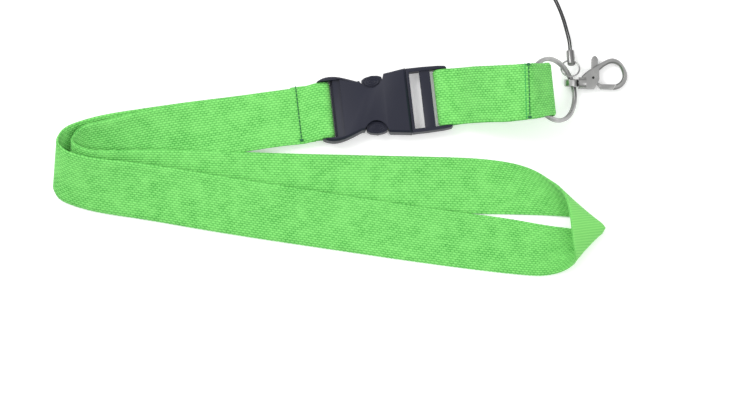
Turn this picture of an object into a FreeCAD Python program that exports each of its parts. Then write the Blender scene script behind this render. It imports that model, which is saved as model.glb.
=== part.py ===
import FreeCAD, Part
import math
import os

from FreeCAD import Placement, Rotation, Vector

# A neck lanyard laid out on a table: 20 mm webbing, side-release buckle, short strap, split ring,
# swivel hook and a thin phone cord on a jump ring. Millimetres, +Z up, the table is z = 0.

# ---- driving dimensions ----
table_centre = Vector(-0.6, 0.8, 0)     # middle of the laid-out footprint, moved to the origin

webbing_width = 20.0
webbing_thickness = 1.0

buckle_centre = Vector(15.3, 21.4, 0)
buckle_heading = 6.5                    # degrees from +X
buckle_height = 6.6
buckle_wall = 1.0
bar_height = 3.3                        # axis of every strap bar above the table
slot_half_width = 10.2                  # a strap slot is this wide each side of the axis
mouth_x = 8.5                           # open end of the female half, along the buckle
female_bar_x = -20.7
female_bar_radius = 1.1
male_bar_x = 20.3
male_bar_radius = 1.15
prong_pivot = Vector(7.5, 8.2, 0)
prong_root_radius = 0.85

ring_centre = Vector(74.6, 25.3, 10.75)
ring_heading = 8.0                      # degrees from +X
ring_tilt = 48.0                        # degrees, the side towards the hook lies lower
ring_outer_radius = 11.85
ring_inner_radius = 10.35
ring_height = 1.4                       # two coils of flat-sided wire

hook_angle = 15.4                       # place of the hook's eye round the ring, degrees
hook_slope = 4.5                        # the hook's axis falls this much towards its nose
eye_inner_radius = 1.7
eye_outer_radius = 2.5
eye_width = 2.7
eye_roll = 10.0
stem_radius = 0.8
stem_clearance = 0.06
stem_head_radius = 1.28
stem_head_start = 3.6                   # along the hook's axis from the middle of the eye
stem_head_length = 0.8
collar_start = 2.62
collar_end = 5.2
collar_radius = 2.1
hook_thickness = 2.2
lever_thickness = 1.0
lever_pin = Vector(7.7, 1.8, 0)         # in the hook's own frame, x along its axis
lever_pin_radius = 0.45

jump_ring_angle = 42.0
jump_ring_radius = 3.25
jump_ring_wire_radius = 0.28
jump_ring_slope = 20.0
jump_ring_heading = 84.0                # towards the crimp, degrees from +X

crimp_radius = 1.4
crimp_length = 5.4
crimp_hole_radius = 0.8
crimp_hole_place = 1.6                  # middle of the cross hole from the near end
crimp_heading = 94.5
crimp_slope = 13.0

cord_diameter = 0.6

up = Vector(0, 0, 1)


# ---- helpers ----
def direction(turn, lean=0.0):
    """Unit vector from a turn about +Z and a rise above the table, both in degrees."""
    turn_rad = math.radians(turn)
    lean_rad = math.radians(lean)
    flat = math.cos(lean_rad)
    return Vector(flat * math.cos(turn_rad), flat * math.sin(turn_rad), math.sin(lean_rad))


def placed(shape, origin, x_axis, z_axis):
    """Copy of a shape built in a local frame, put at origin with its x and z along the given axes."""
    z_unit = Vector(z_axis).normalize()
    y_unit = z_unit.cross(x_axis).normalize()
    x_unit = y_unit.cross(z_unit)
    moved = shape.copy()
    moved.Placement = Placement(origin, Rotation(x_unit, y_unit, z_unit, "ZXY"))
    return moved


def prism(points, z_low, z_high):
    """Straight prism over a closed outline of (x, y) points."""
    corners = [Vector(x, y, z_low) for x, y in points]
    face = Part.Face(Part.makePolygon(corners + corners[:1]))
    return face.extrude(Vector(0, 0, z_high - z_low))


def block(x_low, x_high, y_low, y_high, z_low, z_high):
    """Box between two corners."""
    corner = Vector(x_low, y_low, z_low)
    return Part.makeBox(x_high - x_low, y_high - y_low, z_high - z_low, corner)


def curve_through(points):
    """Smooth edge through a list of points."""
    curve = Part.BSplineCurve()
    curve.interpolate(Points=points)
    return curve.toShape()


def ruled_face(first, second):
    """Face of straight lines between two curves with the same parameters."""
    surface = Part.BSplineSurface()
    knots = first.getKnots()
    counts = first.getMultiplicities()
    poles = [first.getPoles(), second.getPoles()]
    surface.buildFromPolesMultsKnots(poles, [2, 2], counts, [0.0, 1.0], knots, False, False, 1, first.Degree)
    return surface.toShape()


def mirrored(shape):
    """The same shape on the other side of the buckle's axis."""
    return shape.mirror(Vector(0, 0, 0), Vector(0, 1, 0))


# ---- webbing ----
def ribbon(stations):
    """Closed solid of webbing. A station is a middle point, the direction across, and half the width."""
    middles = [station[0] for station in stations]
    last = len(middles) - 1
    corners = [[], [], [], []]
    for index, (middle, across, half_width) in enumerate(stations):
        along = middles[min(index + 1, last)] - middles[max(index - 1, 0)]
        normal = along.cross(across).normalize() * (webbing_thickness / 2)
        edge = across * half_width
        corners[0].append(middle + edge + normal)
        corners[1].append(middle - edge + normal)
        corners[2].append(middle - edge - normal)
        corners[3].append(middle + edge - normal)
    parameters = [0.0]
    for index in range(last):
        parameters.append(parameters[-1] + (middles[index + 1] - middles[index]).Length)
    curves = []
    for corner in corners:
        curve = Part.BSplineCurve()
        curve.interpolate(Points=corner, Parameters=parameters)
        curves.append(curve)
    faces = [ruled_face(curves[index], curves[(index + 1) % 4]) for index in range(4)]
    for end in (0, last):
        loop = [Part.LineSegment(corners[index][end], corners[(index + 1) % 4][end]) for index in range(4)]
        faces.append(Part.makeRuledSurface(loop[0].toShape(), loop[2].toShape()))
    shell = Part.makeShell(faces)
    shell.sewShape()
    solid = Part.Solid(shell)
    if solid.Volume < 0:
        solid.reverse()
    return solid


def wrap(centre, heading, radius, first, final, steps, half_width):
    """Stations round a bar that lies across the heading; angles rise from the heading upwards."""
    along = direction(heading)
    across = direction(heading + 90)
    stations = []
    for step in range(steps + 1):
        angle = math.radians(first + (final - first) * step / steps)
        middle = centre + along * (radius * math.cos(angle)) + up * (radius * math.sin(angle))
        stations.append((middle, across, half_width))
    return stations


def buckle_point(x, y=0.0, z=0.0):
    """Point given along and across the buckle, in the layout."""
    return buckle_centre + direction(buckle_heading) * x + direction(buckle_heading + 90) * y + up * z


# x, y, z of the webbing's middle, turn and lean of the direction across, half the width. The first
# run is the lower ply beside the buckle; it goes round the left bend outside the other ply, along
# the near side, over the folded turn on the right, and back inside the left bend to the buckle.
neck_stations = [
    (-10.0, 18.5, 0.7, -83, 0, 10),
    (-17.5, 17.5, 0.7, -83, 0, 10),
    (-35.0, 15.0, 0.9, -83, -1, 10),
    (-52.5, 12.5, 1.8, -82.5, -7, 10),
    (-70.0, 9.7, 3.4, -81, -16, 10),
    (-83.5, 7.4, 5.0, -83, -26, 10),
    (-92.8, 5.1, 6.2, -87.5, -34, 10),
    (-98.0, 2.7, 7.0, -91.5, -39, 10),
    (-100.0, -0.2, 7.2, -95.5, -40, 10),
    (-99.0, -3.0, 7.0, -96.5, -38, 10),
    (-94.5, -5.7, 6.5, -94.5, -35, 10),
    (-86.5, -7.7, 5.8, -91, -30, 10),
    (-74.0, -9.3, 4.7, -89, -23, 10),
    (-52.5, -12.5, 3.2, -88, -14, 10),
    (-28.0, -16.4, 2.4, -87, -9.5, 10),
    (-4.0, -20.0, 1.9, -86, -7, 10),
    (21.5, -23.8, 1.5, -85, -5, 10),
    (46.5, -27.2, 1.2, -84, -3.5, 10),
    (63.5, -29.3, 0.8, -86, -0.5, 9.7),
    (74.3, -30.4, 0.9, -98, 0, 8.7),
    (81.6, -30.2, 1.5, -110, 5, 7.7),
    (86.4, -29.2, 3.4, -132, 15, 7.0),
    (86.9, -25.3, 5.4, -158, 25, 6.8),
    (86.5, -20.7, 5.9, -195, 27, 7.4),
    (84.8, -16.5, 4.8, -215, 19, 8.2),
    (79.9, -12.6, 2.8, -227, 11, 9.0),
    (71.9, -9.8, 1.5, -240, 5, 9.5),
    (59.8, -8.0, 0.85, -251.5, 1, 10),
    (35.0, -6.9, 0.8, -268, 0.5, 10),
    (-4.0, -6.1, 1.0, -270, 2, 10),
    (-39.5, -5.2, 1.7, -268, 6.5, 10),
    (-58.5, -4.7, 2.6, -265.5, 12, 10),
    (-75.0, -4.6, 3.9, -265.5, 20, 9.7),
    (-84.5, -4.3, 5.0, -267.5, 27, 9.4),
    (-91.2, -2.9, 5.9, -271.5, 33, 9.4),
    (-94.5, 0.0, 6.7, -272, 36, 9.6),
    (-92.5, 2.8, 7.1, -272.5, 35, 10),
    (-86.0, 5.0, 6.7, -270, 29, 10),
    (-70.0, 8.6, 5.2, -262, 19, 10),
    (-52.5, 11.7, 3.6, -262.5, 9, 10),
    (-35.0, 14.5, 2.9, -263, 2, 10),
    (-17.5, 16.9, 3.1, -263, 0, 10),
    (-13.0, 17.5, 3.15, -263, 0, 10),
]


def make_neck_strap():
    """The long strap, with its last end folded round the buckle's bar and tucked between the plies."""
    stations = []
    for x, y, z, turn, lean, half_width in neck_stations:
        stations.append((Vector(x, y, z), direction(turn, lean), half_width))
    across = direction(buckle_heading + 90)
    bar = buckle_point(female_bar_x, 0, bar_height)
    fold_radius = female_bar_radius + 0.15 + webbing_thickness / 2
    stations.append((buckle_point(female_bar_x - 3, 0, 4.75), across, webbing_width / 2))
    stations += wrap(bar, buckle_heading, fold_radius, 90, -90, 6, webbing_width / 2)
    stations.append((buckle_point(female_bar_x - 4, 0, 1.8), across, webbing_width / 2))
    stations.append((buckle_point(female_bar_x - 11.6, 0, 1.85), across, webbing_width / 2))
    return ribbon(stations)


# ---- short strap: a run on the buckle and a pocket on the ring, which flexes where they meet ----
ring_down = direction(ring_heading, -ring_tilt)
ring_side = direction(ring_heading + 90)
ring_normal = direction(ring_heading, 90 - ring_tilt)
pocket_fold = -3.1                      # middle of the pocket's fold, measured from the ring's centre
pocket_seam = -13.8
pocket_half_gap = 1.55
pocket_mouth_gap = 1.4                  # beside the seam, where the plies part round the ring
seam_normal = direction(6, 78.5)        # halfway between the run's rise and the ring's slope
seam_offset = 0.76
pocket_half_width = 9.5
seam_shift = -1.3                       # the seam sits this far to one side of the ring's middle
fold_shift = -0.2
fold_turn = 3.5                         # degrees, the strap sits this far from square on the ring
ply_offset = 0.7                        # middle of a ply from the middle of a closed double strap
flex_point = Vector(59.6, 22.7, 18.2)
flex_slope = 24.0
flex_gap = 0.45                         # half the gap between run and pocket

# middle of the closed double strap from the buckle's bar to the flex line: x, y, z, slope, heading
run_middles = [
    (40.5, 24.0, 4.9, 30, 5),
    (47.0, 23.7, 9.7, 38, 4),
    (53.5, 23.1, 14.5, 34, 2.5),
    (flex_point.x - flex_gap, flex_point.y, 18.0, flex_slope, 1),
]


def ring_point(down, side=0.0, rise=0.0):
    """Point in the ring's own frame: down its slope, along +Y, and out of its plane."""
    return ring_centre + ring_down * down + ring_side * side + ring_normal * rise


def make_short_run():
    """Double strap from the buckle's end bar to the flex line, one piece folded round the bar."""
    half_width = webbing_width / 2
    top = []
    bottom = []
    for x, y, z, slope, heading in run_middles:
        normal = direction(heading, slope + 90)
        across = direction(heading + 90)
        top.append((Vector(x, y, z) + normal * ply_offset, across, half_width))
        bottom.append((Vector(x, y, z) - normal * ply_offset, across, half_width))
    bar = buckle_point(male_bar_x, 0, bar_height)
    fold_radius = male_bar_radius + 0.15 + webbing_thickness / 2
    fold = wrap(bar, buckle_heading, fold_radius, 95, 290, 7, half_width)
    return ribbon(list(reversed(top)) + fold + bottom)


def make_short_pocket():
    """The strap's end round the ring: an upper ply, a lower ply and the fold that joins them."""
    start = flex_point + direction(0, flex_slope) * (2 * flex_gap)
    fold_turn_rad = math.radians(fold_turn)
    fold_across = ring_side * math.cos(fold_turn_rad) + ring_down * math.sin(fold_turn_rad)
    top = []
    bottom = []
    for side, stations in ((1, top), (-1, bottom)):
        normal = direction(0, flex_slope + 90)
        stations.append((start + normal * (side * ply_offset), direction(91), webbing_width / 2))
        seam = ring_point(pocket_seam, seam_shift)
        for share in (0.35, 0.7):
            middle = start + (seam - start) * share + normal * (side * ply_offset)
            stations.append((middle, direction(91.2), 9.9))
        stations.append((seam + seam_normal * (side * seam_offset), direction(91.5), 9.8))
        stations.append((ring_point(-11.9, -1.1, side * pocket_mouth_gap), direction(94), 9.7))
        stations.append((ring_point(-6.5, -0.6, side * pocket_half_gap), fold_across, pocket_half_width))
    fold = [top[-1]]
    for angle in range(90, -91, -30):
        angle_rad = math.radians(angle)
        down = pocket_fold + pocket_half_gap * math.cos(angle_rad)
        middle = ring_point(down, fold_shift, pocket_half_gap * math.sin(angle_rad))
        fold.append((middle, fold_across, pocket_half_width))
    fold.append(bottom[-1])
    return Part.makeCompound([ribbon(top), ribbon(fold), ribbon(list(reversed(bottom)))])


def stitch_row(start, across, normal, length, count):
    """A row of short thread stitches across a strap."""
    pitch = length / count
    along = across.cross(normal)
    stitches = []
    for index in range(count):
        stitch = block(-0.35 * pitch, 0.35 * pitch, -0.2, 0.2, 0, 0.16)
        middle = start + across * (pitch * (index + 0.5) - length / 2)
        stitches.append(placed(stitch, middle, across, normal))
    return Part.makeCompound(stitches)


# ---- buckle, in its own frame: x along it, y across, z up from the table ----
def make_female_half():
    """Hollow receptacle with thumb notches, two lugs and the bar that the neck strap wraps."""
    flank = [(-22.9, 10.2), (-20.8, 11.2), (-17.5, 11.5), (-13.0, 10.4), (-8.8, 8.8)]
    shoulder = [(0.6, 10.5), (mouth_x, 11.6)]
    left = Vector(flank[0][0], flank[0][1], 0)
    edges = [curve_through([Vector(x, y, 0) for x, y in flank])]
    upper = [Vector(flank[-1][0], flank[-1][1], 0)] + [Vector(x, y, 0) for x, y in shoulder]
    edges += Part.makePolygon(upper).Edges
    lower_edges = [edge.mirror(Vector(0, 0, 0), Vector(0, 1, 0)) for edge in edges]
    edges.append(Part.makeLine(upper[-1], Vector(mouth_x, -upper[-1].y, 0)))
    edges.append(Part.makeLine(Vector(left.x, -left.y, 0), left))
    wire = Part.Wire(Part.sortEdges(edges + lower_edges)[0])
    body = Part.Face(wire).extrude(Vector(0, 0, buckle_height))
    body = body.makeChamfer(0.7, rim_edges(body, buckle_height))

    strap_slot = block(-30, -17.5, -slot_half_width, slot_half_width, -1, buckle_height + 1)
    body = body.cut(strap_slot)
    step_top = block(-17.6, -14.9, -slot_half_width, slot_half_width, buckle_height - 1.1, buckle_height + 1)
    step_bottom = block(-17.6, -14.9, -slot_half_width, slot_half_width, -1, 1.1)
    cavity_side = [(-13.0, 7.4), (-8.8, 7.6), (0.6, 9.4), (mouth_x + 1, 10.2)]
    cavity_outline = cavity_side + [(x, -y) for x, y in reversed(cavity_side)]
    cavity = prism(cavity_outline, buckle_wall, buckle_height - buckle_wall)
    body = body.cut(step_top.fuse(step_bottom)).cut(cavity)
    for side in (1, -1):
        notch = Part.Ellipse(Vector(0, 5.9, 0), Vector(4.7, 0, 0), Vector(0, 0, 0)).toShape()
        cutter = Part.Face(Part.Wire(notch)).extrude(Vector(0, 0, buckle_height + 2))
        cutter.translate(Vector(-3.9, side * 11.7, -1))
        body = body.cut(cutter)
    bar = Part.makeCylinder(female_bar_radius, 2 * slot_half_width + 1, Vector(female_bar_x, -slot_half_width - 0.5,
                            bar_height), Vector(0, 1, 0))
    return body.fuse(bar).removeSplitter()


def rim_edges(body, height):
    """Edges of a prism's flat top and bottom faces."""
    rims = []
    for edge in body.Edges:
        box = edge.BoundBox
        flat = box.ZLength < 1e-6
        if flat and (abs(box.ZMin) < 1e-6 or abs(box.ZMin - height) < 1e-6):
            rims.append(edge)
    return rims


def make_male_frame():
    """Frame with two strap slots, two bars and the tongue that guides it into the female half."""
    z_low = 1.1
    z_high = buckle_height - 1.1
    side = [(mouth_x + 0.08, 11.5), (14.0, 11.5), (20.0, 11.3), (22.4, 11.0), (23.0, 10.4)]
    frame = prism(side + [(x, -y) for x, y in reversed(side)], z_low, z_high)
    frame = frame.cut(block(9.7, 13.3, -slot_half_width, slot_half_width, 0, buckle_height))
    frame = frame.cut(block(17.0, 30.0, -slot_half_width, slot_half_width, 0, buckle_height))
    recess = block(13.2, 17.1, -slot_half_width, slot_half_width, bar_height + 1.5, buckle_height)
    frame = frame.cut(recess)
    bar = Part.makeCylinder(male_bar_radius, 2 * slot_half_width + 1,
                            Vector(male_bar_x, -slot_half_width - 0.5, bar_height), Vector(0, 1, 0))
    tongue = prism([(mouth_x + 0.5, -1.8), (-10.0, -1.8), (-11.4, -1.0), (-11.4, 1.0), (-10.0, 1.8),
                    (mouth_x + 0.5, 1.8)], 1.9, 4.7)
    return frame.fuse([bar, tongue]).removeSplitter()


def make_prong():
    """Spring arm with its thumb pad and barb, on the +y side of the buckle."""
    outline = [(7.5, 9.05), (2.0, 8.95), (0.0, 8.9), (0.0, 9.6), (-1.4, 10.2), (-3.6, 10.4),
               (-6.0, 9.9), (-7.2, 9.1), (-7.3, 7.7), (-9.0, 7.2), (-12.2, 7.0), (-12.6, 6.4),
               (-12.2, 5.7), (-8.0, 5.7), (-4.0, 5.9), (0.5, 6.8), (2.0, 7.4), (7.5, 7.35)]
    arm = prism(outline, 1.3, buckle_height - 1.3)
    root = Part.makeCylinder(prong_root_radius, buckle_height - 2.6, Vector(prong_pivot.x, prong_pivot.y, 1.3))
    return arm.fuse(root).removeSplitter()


def in_buckle(shape):
    """Move a shape from the buckle's frame to the layout."""
    return placed(shape, buckle_centre, direction(buckle_heading), up)


# ---- ring, hook and jump ring ----
def make_split_ring():
    """Two closed coils of flat-sided wire, one on the other, with a groove between them."""
    half = ring_height / 2
    cut = 0.25
    groove = 0.1
    profile = [
        (ring_inner_radius, groove), (ring_inner_radius, half - cut), (ring_inner_radius + cut, half),
        (ring_outer_radius - cut, half), (ring_outer_radius, half - cut), (ring_outer_radius, groove),
        (ring_outer_radius - 2 * groove, 0.0),
    ]
    lower = [(radius, -height) for radius, height in reversed(profile[:-1])]
    loop = [Vector(radius, 0, height) for radius, height in profile + lower]
    loop.append(Vector(ring_inner_radius + 2 * groove, 0, 0))
    face = Part.Face(Part.makePolygon(loop + loop[:1]))
    ring = face.revolve(Vector(0, 0, 0), up, 360)
    return placed(ring, ring_centre, ring_down, ring_normal)


def ring_wire_point(angle):
    """Middle of the ring's wire at an angle from its lowest point, turning towards +Y."""
    radius = (ring_outer_radius + ring_inner_radius) / 2
    angle_rad = math.radians(angle)
    return ring_point(radius * math.cos(angle_rad), radius * math.sin(angle_rad))


def ring_wire_tangent(angle):
    """Direction of the ring's wire at an angle from its lowest point."""
    angle_rad = math.radians(angle)
    return ring_down * -math.sin(angle_rad) + ring_side * math.cos(angle_rad)


hook_origin = ring_wire_point(hook_angle) + Vector(-0.3, 0, 0)
hook_axis = direction(0, -hook_slope)
hook_up = direction(0, 90 - hook_slope)


def in_hook(shape):
    """Move a shape from the hook's frame, with x along its axis, to the layout."""
    return placed(shape, hook_origin, hook_axis, hook_up)


def make_swivel_eye():
    """Round eye on the ring, with the stem and head that turn inside the hook's collar."""
    rim = 0.3
    half = eye_width / 2
    section = [(eye_inner_radius, half - rim), (eye_inner_radius + rim, half), (eye_outer_radius - rim, half),
               (eye_outer_radius, half - rim)]
    section += [(radius, -side) for radius, side in reversed(section)]
    loop = [Vector(radius, side, 0) for radius, side in section]
    eye = Part.Face(Part.makePolygon(loop + loop[:1])).revolve(Vector(0, 0, 0), Vector(0, 1, 0), 360)
    eye.rotate(Vector(0, 0, 0), Vector(1, 0, 0), eye_roll)
    along = Vector(1, 0, 0)
    stem = Part.makeCylinder(stem_radius, stem_head_start - eye_outer_radius + 0.3,
                             Vector(eye_outer_radius - 0.2, 0, 0), along)
    head = Part.makeCylinder(stem_head_radius, stem_head_length, Vector(stem_head_start, 0, 0), along)
    return in_hook(eye.fuse([stem, head]).removeSplitter())


# outlines in the hook's frame; the claw is one smooth loop open at its nose
claw_outer = [(3.6, 2.2), (6.2, 4.6), (9.2, 6.5), (12.2, 8.2), (14.6, 8.9), (16.9, 8.1),
              (18.9, 5.6), (19.8, 2.8), (19.1, 0.2), (17.3, -1.6), (14.7, -2.3)]
claw_inner = [(15.8, -0.3), (16.9, 0.3), (18.1, 2.3), (18.0, 3.9), (16.7, 6.4), (14.6, 7.2),
              (12.2, 6.4), (9.8, 4.4)]
web_edge = [(9.9, 1.3), (9.2, -0.2), (8.2, -2.0), (3.6, -2.0)]


def make_hook_body():
    """Collar, web and claw, slotted for the lever."""
    half = hook_thickness / 2
    outer = [Vector(x, y, -half) for x, y in claw_outer]
    inner = [Vector(x, y, -half) for x, y in claw_inner]
    web = [inner[-1]] + [Vector(x, y, -half) for x, y in web_edge] + [outer[0]]
    edges = [curve_through(outer), Part.makeLine(outer[-1], inner[0]), curve_through(inner)]
    edges += Part.makePolygon(web).Edges
    claw = Part.Face(Part.Wire(Part.sortEdges(edges)[0])).extrude(Vector(0, 0, hook_thickness))
    rims = [edge for edge in claw.Edges if edge.BoundBox.ZLength < 1e-6 and edge.Length > 12]
    claw = claw.makeChamfer(0.45, rims)
    along = Vector(1, 0, 0)
    collar = Part.makeCylinder(collar_radius, collar_end - collar_start, Vector(collar_start, 0, 0), along)
    body = claw.fuse(collar)
    bore = Part.makeCylinder(stem_radius + stem_clearance, 2.0, Vector(collar_start - 0.5, 0, 0), along)
    pocket = Part.makeCylinder(stem_head_radius + stem_clearance, stem_head_length + 2 * stem_clearance,
                               Vector(stem_head_start - stem_clearance, 0, 0), along)
    slot_half = lever_thickness / 2 + 0.1
    slot = block(5.3, 9.95, -3, 9.5, -slot_half, slot_half)
    pin_hole = Part.makeCylinder(lever_pin_radius, 6, Vector(lever_pin.x, lever_pin.y, -3))
    return in_hook(body.cut(bore.fuse(pocket)).cut(slot).cut(pin_hole).removeSplitter())


def make_lever():
    """Thumb tab, pivot plate and gate in one piece."""
    half = lever_thickness / 2
    plate = prism([(7.1, 3.2), (7.1, 8.4), (7.5, 9.3), (8.3, 9.8), (9.1, 9.3), (9.5, 8.4), (9.0, 3.6),
                   (9.3, 1.4), (8.9, 0.4), (7.2, 0.3)], -half, half)
    hub = Part.makeCylinder(1.5, lever_thickness, Vector(lever_pin.x, lever_pin.y, -half))
    gate = prism([(8.0, 1.0), (9.4, 0.2), (10.7, -0.45), (15.6, -0.45), (14.7, -2.15), (10.3, -2.0)],
                 -half, half)
    gate_bar = prism([(10.2, -0.45), (15.6, -0.45), (14.7, -2.15), (10.2, -2.0)], -0.85, 0.85)
    hole = Part.makeCylinder(lever_pin_radius + 0.04, 6, Vector(lever_pin.x, lever_pin.y, -3))
    return in_hook(plate.fuse([hub, gate, gate_bar]).cut(hole).removeSplitter())


def make_lever_pin():
    """Rivet that the lever turns on."""
    pin = Part.makeCylinder(lever_pin_radius, hook_thickness, Vector(lever_pin.x, lever_pin.y, -hook_thickness / 2))
    return in_hook(pin)


jump_ring_centre = ring_wire_point(jump_ring_angle) + Vector(1.6, 0.6, -0.1)
jump_ring_across = direction(jump_ring_heading, -jump_ring_slope)
jump_ring_normal = direction(jump_ring_heading, 90 - jump_ring_slope)


def make_jump_ring():
    """Thin wire ring through the split ring and the crimp's ear."""
    return Part.makeTorus(jump_ring_radius, jump_ring_wire_radius, jump_ring_centre, jump_ring_normal)


crimp_ear = jump_ring_centre + jump_ring_across * jump_ring_radius
crimp_axis = direction(crimp_heading, -crimp_slope)


def make_crimp():
    """Metal sleeve that holds both ends of the cord; the jump ring passes through its cross hole."""
    sleeve = Part.makeCylinder(crimp_radius, crimp_length, Vector(-crimp_hole_place, 0, 0), Vector(1, 0, 0))
    rims = [edge for edge in sleeve.Edges if edge.Closed]
    sleeve = sleeve.makeChamfer(0.25, rims)
    hole = Part.makeCylinder(crimp_hole_radius, 4 * crimp_radius, Vector(0, 0, -2 * crimp_radius))
    sideways = crimp_axis.cross(up).normalize()
    return placed(sleeve.cut(hole), crimp_ear, crimp_axis, sideways)


# ---- phone cord: one thin cord, doubled, both ends in the crimp ----
def cord_exit():
    """Middle of the crimp's far end."""
    return crimp_ear + crimp_axis * (crimp_length - crimp_hole_place)


# from the middle of the crimp's far end; the first and last runs leave it squarely
cord_points = [
    (0.38, 0.0, 0.0),
    (0.34, 1.5, -0.35),
    (0.0, 4.3, -1.2),
    (-0.85, 7.7, -1.9),
    (-1.85, 11.6, -2.2),
    (-3.75, 16.7, -2.2),
    (-6.75, 22.8, -2.2),
    (-11.85, 29.2, -2.2),
    (-18.85, 33.7, -2.2),
    (-26.55, 35.4, -2.2),
    (-33.55, 35.6, -2.2),
    (-38.55, 33.6, -2.2),
    (-39.75, 30.0, -2.2),
    (-36.55, 27.6, -2.2),
    (-31.05, 29.2, -2.2),
    (-25.55, 31.6, -2.2),
    (-19.45, 32.4, -2.2),
    (-12.55, 28.2, -2.2),
    (-7.65, 22.2, -2.2),
    (-4.65, 16.2, -2.2),
    (-2.75, 11.3, -2.2),
    (-1.75, 7.4, -1.9),
    (-0.9, 4.1, -1.2),
    (-0.5, 1.5, -0.35),
    (-0.38, 0.0, 0.0),
]


def rounded_path(points):
    """Wire of straight runs joined by tangent arcs as large as the runs allow; prints the radii."""
    edges = []
    radii = []
    start = points[0]
    for index in range(1, len(points) - 1):
        corner = points[index]
        before = points[index - 1] - corner
        after = points[index + 1] - corner
        shorter = min(before.Length, after.Length)
        before_unit = Vector(before).normalize()
        after_unit = Vector(after).normalize()
        half_turn = (math.pi - before_unit.getAngle(after_unit)) / 2
        trim = 0.45 * shorter
        radius = trim / math.tan(half_turn)
        radii.append(round(radius, 1))
        arc_start = corner + before_unit * trim
        arc_end = corner + after_unit * trim
        inward = (before_unit + after_unit).normalize()
        arc_middle = corner + inward * (radius / math.cos(half_turn) - radius)
        edges.append(Part.LineSegment(start, arc_start).toShape())
        edges.append(Part.Arc(arc_start, arc_middle, arc_end).toShape())
        start = arc_end
    edges.append(Part.LineSegment(start, points[-1]).toShape())
    print("cord arc radii, mm:", radii)
    return Part.Wire(edges)


def make_cord():
    """Round tube along the cord's route; prints its length and its volume against section times length."""
    points = [cord_exit() + Vector(x, y, z) for x, y, z in cord_points]
    path = rounded_path(points)
    first = path.Edges[0]
    heading = first.tangentAt(first.FirstParameter)
    section = Part.Wire(Part.Circle(points[0], heading, cord_diameter / 2).toShape())
    tube = path.makePipeShell([section], True, False)
    expected = math.pi * (cord_diameter / 2) ** 2 * path.Length
    print("cord length, mm:", round(path.Length, 1), "volume ratio:", round(tube.Volume / expected, 4))
    return tube


# ---- the assembly ----
def make_neck_stitches():
    middle = buckle_point(female_bar_x - 9.7, 0, 3.67)
    return stitch_row(middle, direction(buckle_heading + 90), up, webbing_width - 2, 12)


def make_pocket_stitches():
    middle = ring_point(pocket_seam, seam_shift) + seam_normal * (seam_offset + webbing_thickness / 2 + 0.01)
    return stitch_row(middle, direction(91.5), seam_normal, webbing_width - 2, 12)


prong = make_prong()
nodes = {
    "neck_strap": make_neck_strap(),
    "neck_strap_stitches": make_neck_stitches(),
    "buckle_female": in_buckle(make_female_half()),
    "buckle_male_frame": in_buckle(make_male_frame()),
    "prong_left": in_buckle(prong),
    "prong_right": in_buckle(mirrored(prong)),
    "short_strap_run": make_short_run(),
    "short_strap_pocket": make_short_pocket(),
    "short_strap_stitches": make_pocket_stitches(),
    "split_ring": make_split_ring(),
    "swivel_eye": make_swivel_eye(),
    "hook_body": make_hook_body(),
    "hook_lever": make_lever(),
    "hook_lever_pin": make_lever_pin(),
    "jump_ring": make_jump_ring(),
    "cord_crimp": make_crimp(),
    "phone_cord": make_cord(),
}

os.makedirs("parts", exist_ok=True)
whole = FreeCAD.BoundBox()
for name, shape in nodes.items():
    shape.translate(table_centre * -1)
    if name != "phone_cord":
        whole.add(shape.BoundBox)
    shape.exportStep(f"parts/{name}.step")
    print(name, "valid" if shape.isValid() else "NOT VALID", round(shape.Volume, 1), "mm3")
print("footprint", [round(v, 2) for v in (whole.XMin, whole.XMax, whole.YMin, whole.YMax, whole.ZMin, whole.ZMax)])
for label, point, axis in (
    ("prong_left pivot", buckle_point(prong_pivot.x, prong_pivot.y, bar_height), up),
    ("prong_right pivot", buckle_point(prong_pivot.x, -prong_pivot.y, bar_height), up),
    ("strap flex", flex_point, Vector(0, 1, 0)),
    ("ring", ring_centre, ring_normal),
    ("hook eye", hook_origin, ring_wire_tangent(hook_angle)),
    ("hook stem", hook_origin, hook_axis),
    ("lever pin", hook_origin + hook_axis * lever_pin.x + Vector(0, lever_pin.y, 0), hook_up),
    ("jump ring", ring_wire_point(jump_ring_angle), ring_wire_tangent(jump_ring_angle)),
    ("crimp ear", crimp_ear, Vector(1, 0, 0)),
    ("cord exit", cord_exit(), crimp_axis),
):
    place = point - table_centre
    print(label, [round(v, 3) for v in place], [round(v, 4) for v in axis])
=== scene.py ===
import math
import bmesh
import bpy
import numpy as np
from mathutils import Matrix, Vector


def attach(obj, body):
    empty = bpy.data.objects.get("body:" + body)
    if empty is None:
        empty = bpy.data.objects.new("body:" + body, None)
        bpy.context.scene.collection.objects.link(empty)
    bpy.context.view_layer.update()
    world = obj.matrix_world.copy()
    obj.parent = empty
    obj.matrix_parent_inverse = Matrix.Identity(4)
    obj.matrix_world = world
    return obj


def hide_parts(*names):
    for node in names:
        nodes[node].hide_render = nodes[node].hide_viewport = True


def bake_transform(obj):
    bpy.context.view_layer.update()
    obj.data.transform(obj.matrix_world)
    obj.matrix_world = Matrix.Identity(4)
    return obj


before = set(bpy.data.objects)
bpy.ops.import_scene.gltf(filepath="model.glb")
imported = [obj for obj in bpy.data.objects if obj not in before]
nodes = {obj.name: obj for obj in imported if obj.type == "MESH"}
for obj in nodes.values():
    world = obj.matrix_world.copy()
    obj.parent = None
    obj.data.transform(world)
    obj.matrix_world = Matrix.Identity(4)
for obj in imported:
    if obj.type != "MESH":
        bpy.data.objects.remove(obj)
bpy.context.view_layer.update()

mm = 0.001

layout = {
    "tableCentre": (-0.6, 0.8, 0.0),  # millimetres, as every length in these dictionaries
    "buckleCentre": (15.3, 21.4, 0.0),
    "buckleHeading": 6.5,
    "barHeight": 3.3,
    "ringCentre": (74.6, 25.3, 10.75),
    "ringHeading": 8.0,
    "ringTilt": 48.0,
}

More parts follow.
